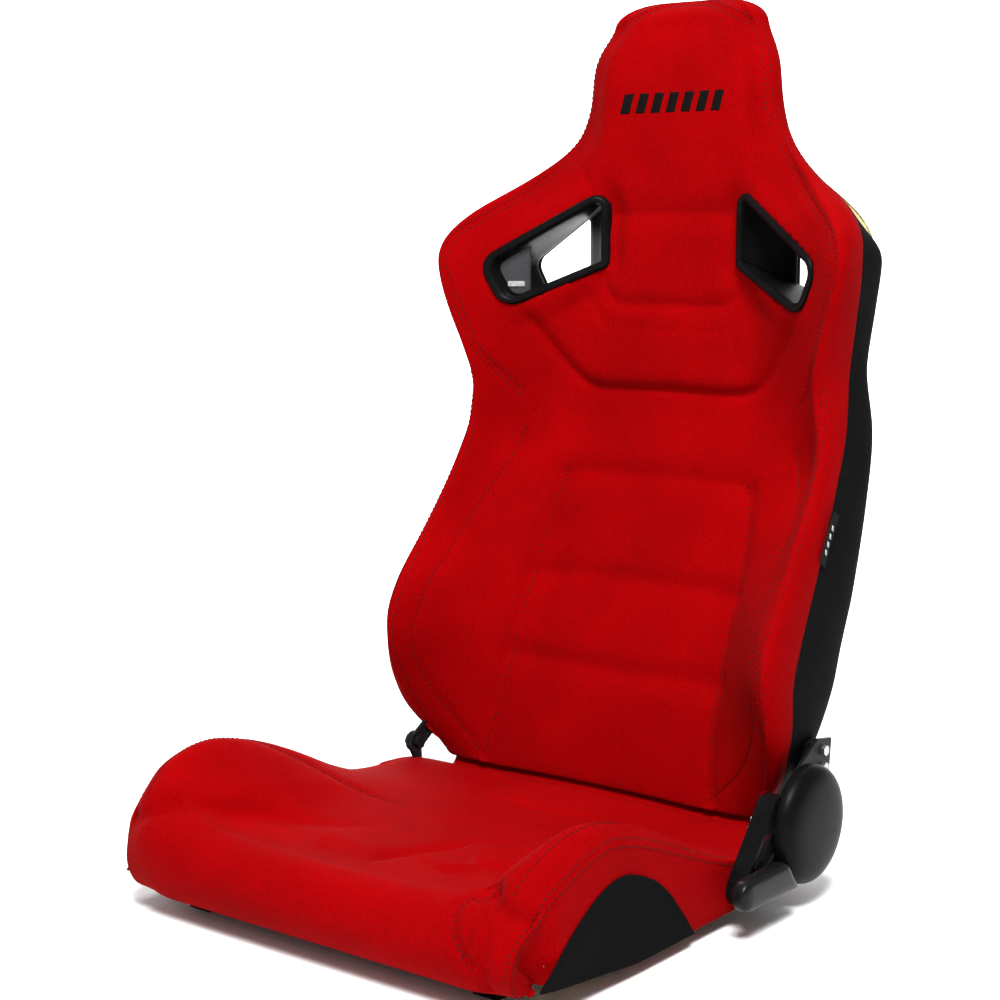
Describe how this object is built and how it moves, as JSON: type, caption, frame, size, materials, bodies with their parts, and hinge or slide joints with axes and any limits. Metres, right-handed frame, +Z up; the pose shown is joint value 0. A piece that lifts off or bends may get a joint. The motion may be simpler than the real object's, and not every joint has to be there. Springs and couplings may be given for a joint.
{
  "type": "racing seat",
  "caption": "Reclining sport bucket seat with high side bolsters, shoulder harness openings, a round side recliner with its release lever, a plain pivot opposite, and a steel base frame.",
  "frame": {"origin": "centre of the four base bolts, on the underside of the side rails", "axes": "+X to the sitter's left, -Y forward, +Z up"},
  "size_m": [0.5753, 0.702, 0.934],
  "materials": {
    "red_fabric": "ribbed cloth",
    "black_fabric": "fine twill cloth",
    "black_plastic": "satin, fine grain",
    "black_steel": "black powder coat",
    "zinc_steel": "zinc plated",
    "foam": "moulded open-cell foam",
    "badge_metal": "brushed",
    "black_thread": "embroidery thread"
  },
  "bodies": {
    "base": {"side_rail_left": "black_steel", "side_rail_right": "black_steel", "weld_nuts": "zinc_steel", "front_cross_tube": "black_steel", "rear_cross_tube": "black_steel", "recliner_bracket": "black_steel", "pivot_bracket": "black_steel", "pivot_bolt": "black_steel", "bracket_bolts": "zinc_steel", "seat_springs": "zinc_steel", "spring_clips": "zinc_steel", "cushion_foam": "foam", "cushion_cover": "red_fabric", "cushion_panel_left": "black_fabric", "cushion_panel_right": "black_fabric", "recliner_plate": "black_steel", "recliner_cover": "black_plastic", "hinge_cap": "black_plastic", "lever_spring": "zinc_steel"},
    "backrest": {"back_hoop": "black_steel", "lower_cross_tube": "black_steel", "upper_cross_tube": "black_steel", "headrest_stay": "black_steel", "support_wires": "zinc_steel", "recliner_arm": "black_steel", "pivot_arm": "black_steel", "pivot_bush": "black_plastic", "tooth_ring": "zinc_steel", "arm_bolts": "zinc_steel", "backrest_foam": "foam", "backrest_cover": "red_fabric", "back_panel": "black_fabric", "harness_bezel_left": "black_plastic", "harness_bezel_right": "black_plastic", "harness_ring_left": "black_plastic", "harness_ring_right": "black_plastic", "badge_plate": "black_plastic", "badge": "badge_metal", "headrest_emblem": "black_thread", "side_tag": "black_thread"},
    "release": {"release_shaft": "zinc_steel", "lever": "black_steel", "lever_grip": "black_plastic"},
    "pawl_upper": {"pawl_upper": "zinc_steel"},
    "pawl_lower": {"pawl_lower": "zinc_steel"}
  },
  "joints": [
    {"name": "recline", "type": "hinge", "parent": "base", "child": "backrest", "pos_m": [0, 0.158, 0.085], "axis": [-1, 0, 0], "range_deg": [-50, 55]},
    {"name": "release_lever", "type": "hinge", "parent": "base", "child": "release", "pos_m": [0, 0.158, 0.085], "axis": [-1, 0, 0], "range_deg": [0, 16], "stiffness_Nm_per_rad": 0.6, "springref_deg": -28.65},
    {"name": "pawl_upper_slide", "type": "slide", "parent": "base", "child": "pawl_upper", "axis": [0, 0, -1], "range_m": [0, 0.0015]},
    {"name": "pawl_lower_slide", "type": "slide", "parent": "base", "child": "pawl_lower", "axis": [0, 0, 1], "range_m": [0, 0.0015]}
  ],
  "couplings": [
    {"joint": "pawl_upper_slide", "follows": "release_lever", "m_per_rad": 0.0053715},
    {"joint": "pawl_lower_slide", "follows": "release_lever", "m_per_rad": 0.0053715}
  ]
}
